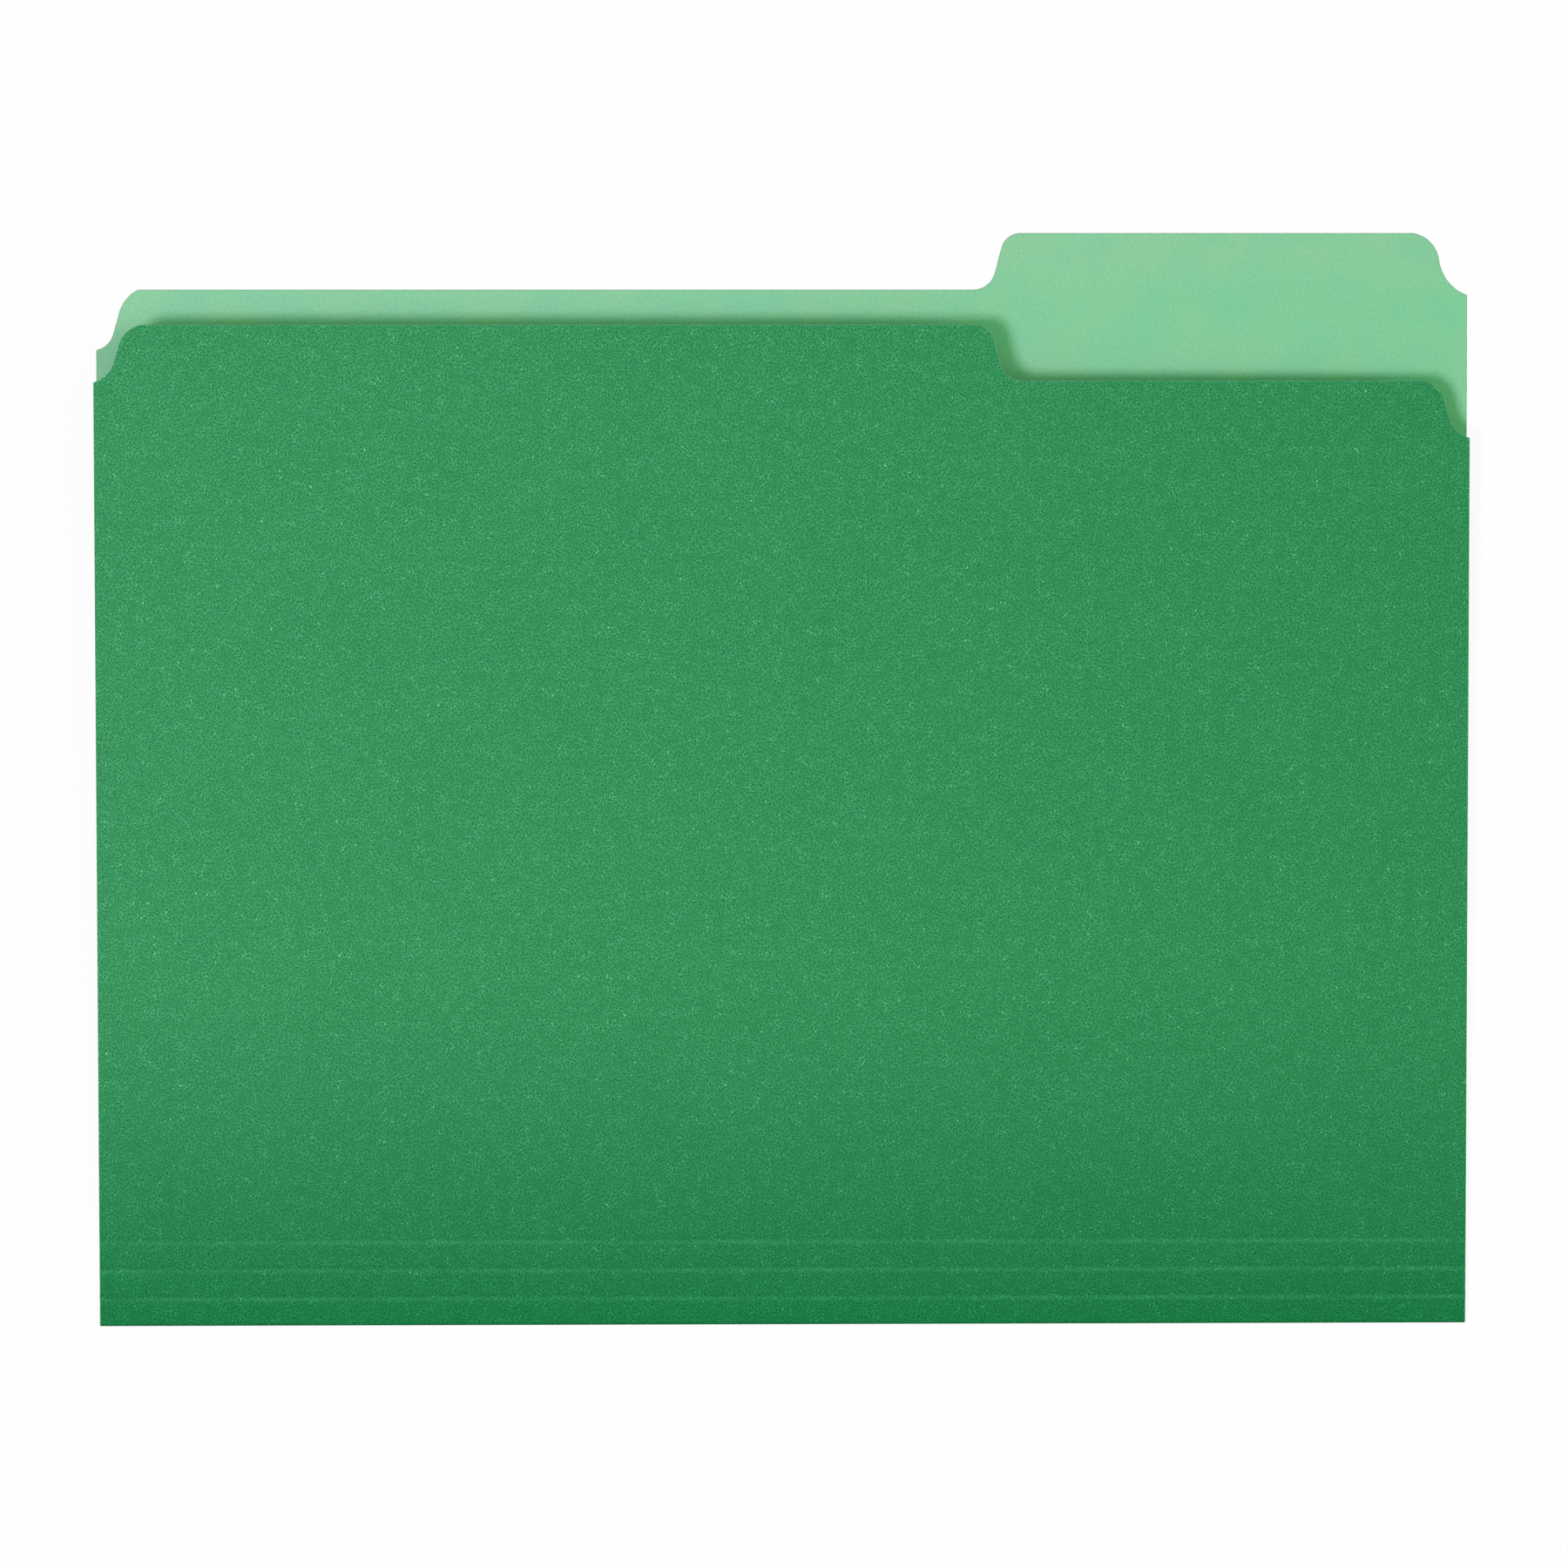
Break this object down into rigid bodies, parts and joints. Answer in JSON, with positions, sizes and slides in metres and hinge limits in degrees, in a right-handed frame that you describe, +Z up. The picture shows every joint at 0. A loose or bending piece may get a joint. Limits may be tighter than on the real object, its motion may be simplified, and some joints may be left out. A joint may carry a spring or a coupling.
{
  "type": "file folder",
  "caption": "Closed letter-size file folder of two-tone card with a right-hand index tab, a stepped front leaf and an expanding scored base.",
  "frame": {"origin": "middle of the folder's box, on the surface that its back leaf lies on", "axes": "+X along the bottom fold towards the tab side, +Y from the fold to the tab, +Z up out of the front leaf"},
  "size_m": [0.2984, 0.2381, 0.0068],
  "materials": {
    "outside_card": "matte dark green, fine fibre speckle",
    "inside_card": "matte light green, even"
  },
  "bodies": {
    "back": {"back_leaf": "inside_card"},
    "fold": {"bottom_fold": "outside_card"},
    "strip_1": {"base_strip_1": "outside_card", "score_line_1": "outside_card"},
    "strip_2": {"base_strip_2": "outside_card", "score_line_2": "outside_card"},
    "strip_3": {"base_strip_3": "outside_card", "score_line_3": "outside_card"},
    "front": {"front_leaf": "outside_card"}
  },
  "joints": [
    {"name": "cover_open", "type": "hinge", "parent": "back", "child": "fold", "pos_m": [0, -0.11916, 0.00058], "axis": [1, 0, 0], "range_deg": [0, 178.5]},
    {"name": "base_rise", "type": "slide", "parent": "fold", "child": "front", "axis": [0, 0.6161, -0.7877], "range_m": [-0.01775, 0]},
    {"name": "base_fold", "type": "hinge", "parent": "fold", "child": "strip_1", "pos_m": [0, -0.11916, 0.00058], "axis": [1, 0, 0], "range_deg": [0, 90]},
    {"name": "score_bend_1", "type": "hinge", "parent": "strip_1", "child": "strip_2", "pos_m": [0, -0.11296, 0.00116], "axis": [-1, 0, 0], "range_deg": [0, 30]},
    {"name": "score_bend_2", "type": "hinge", "parent": "strip_2", "child": "strip_3", "pos_m": [0, -0.10677, 0.00133], "axis": [-1, 0, 0], "range_deg": [0, 30]}
  ],
  "couplings": [
    {"joint": "base_fold", "follows": "base_rise", "rad_per_m": -88.517},
    {"joint": "score_bend_1", "follows": "base_rise", "rad_per_m": -29.506},
    {"joint": "score_bend_2", "follows": "base_rise", "rad_per_m": -29.506}
  ]
}
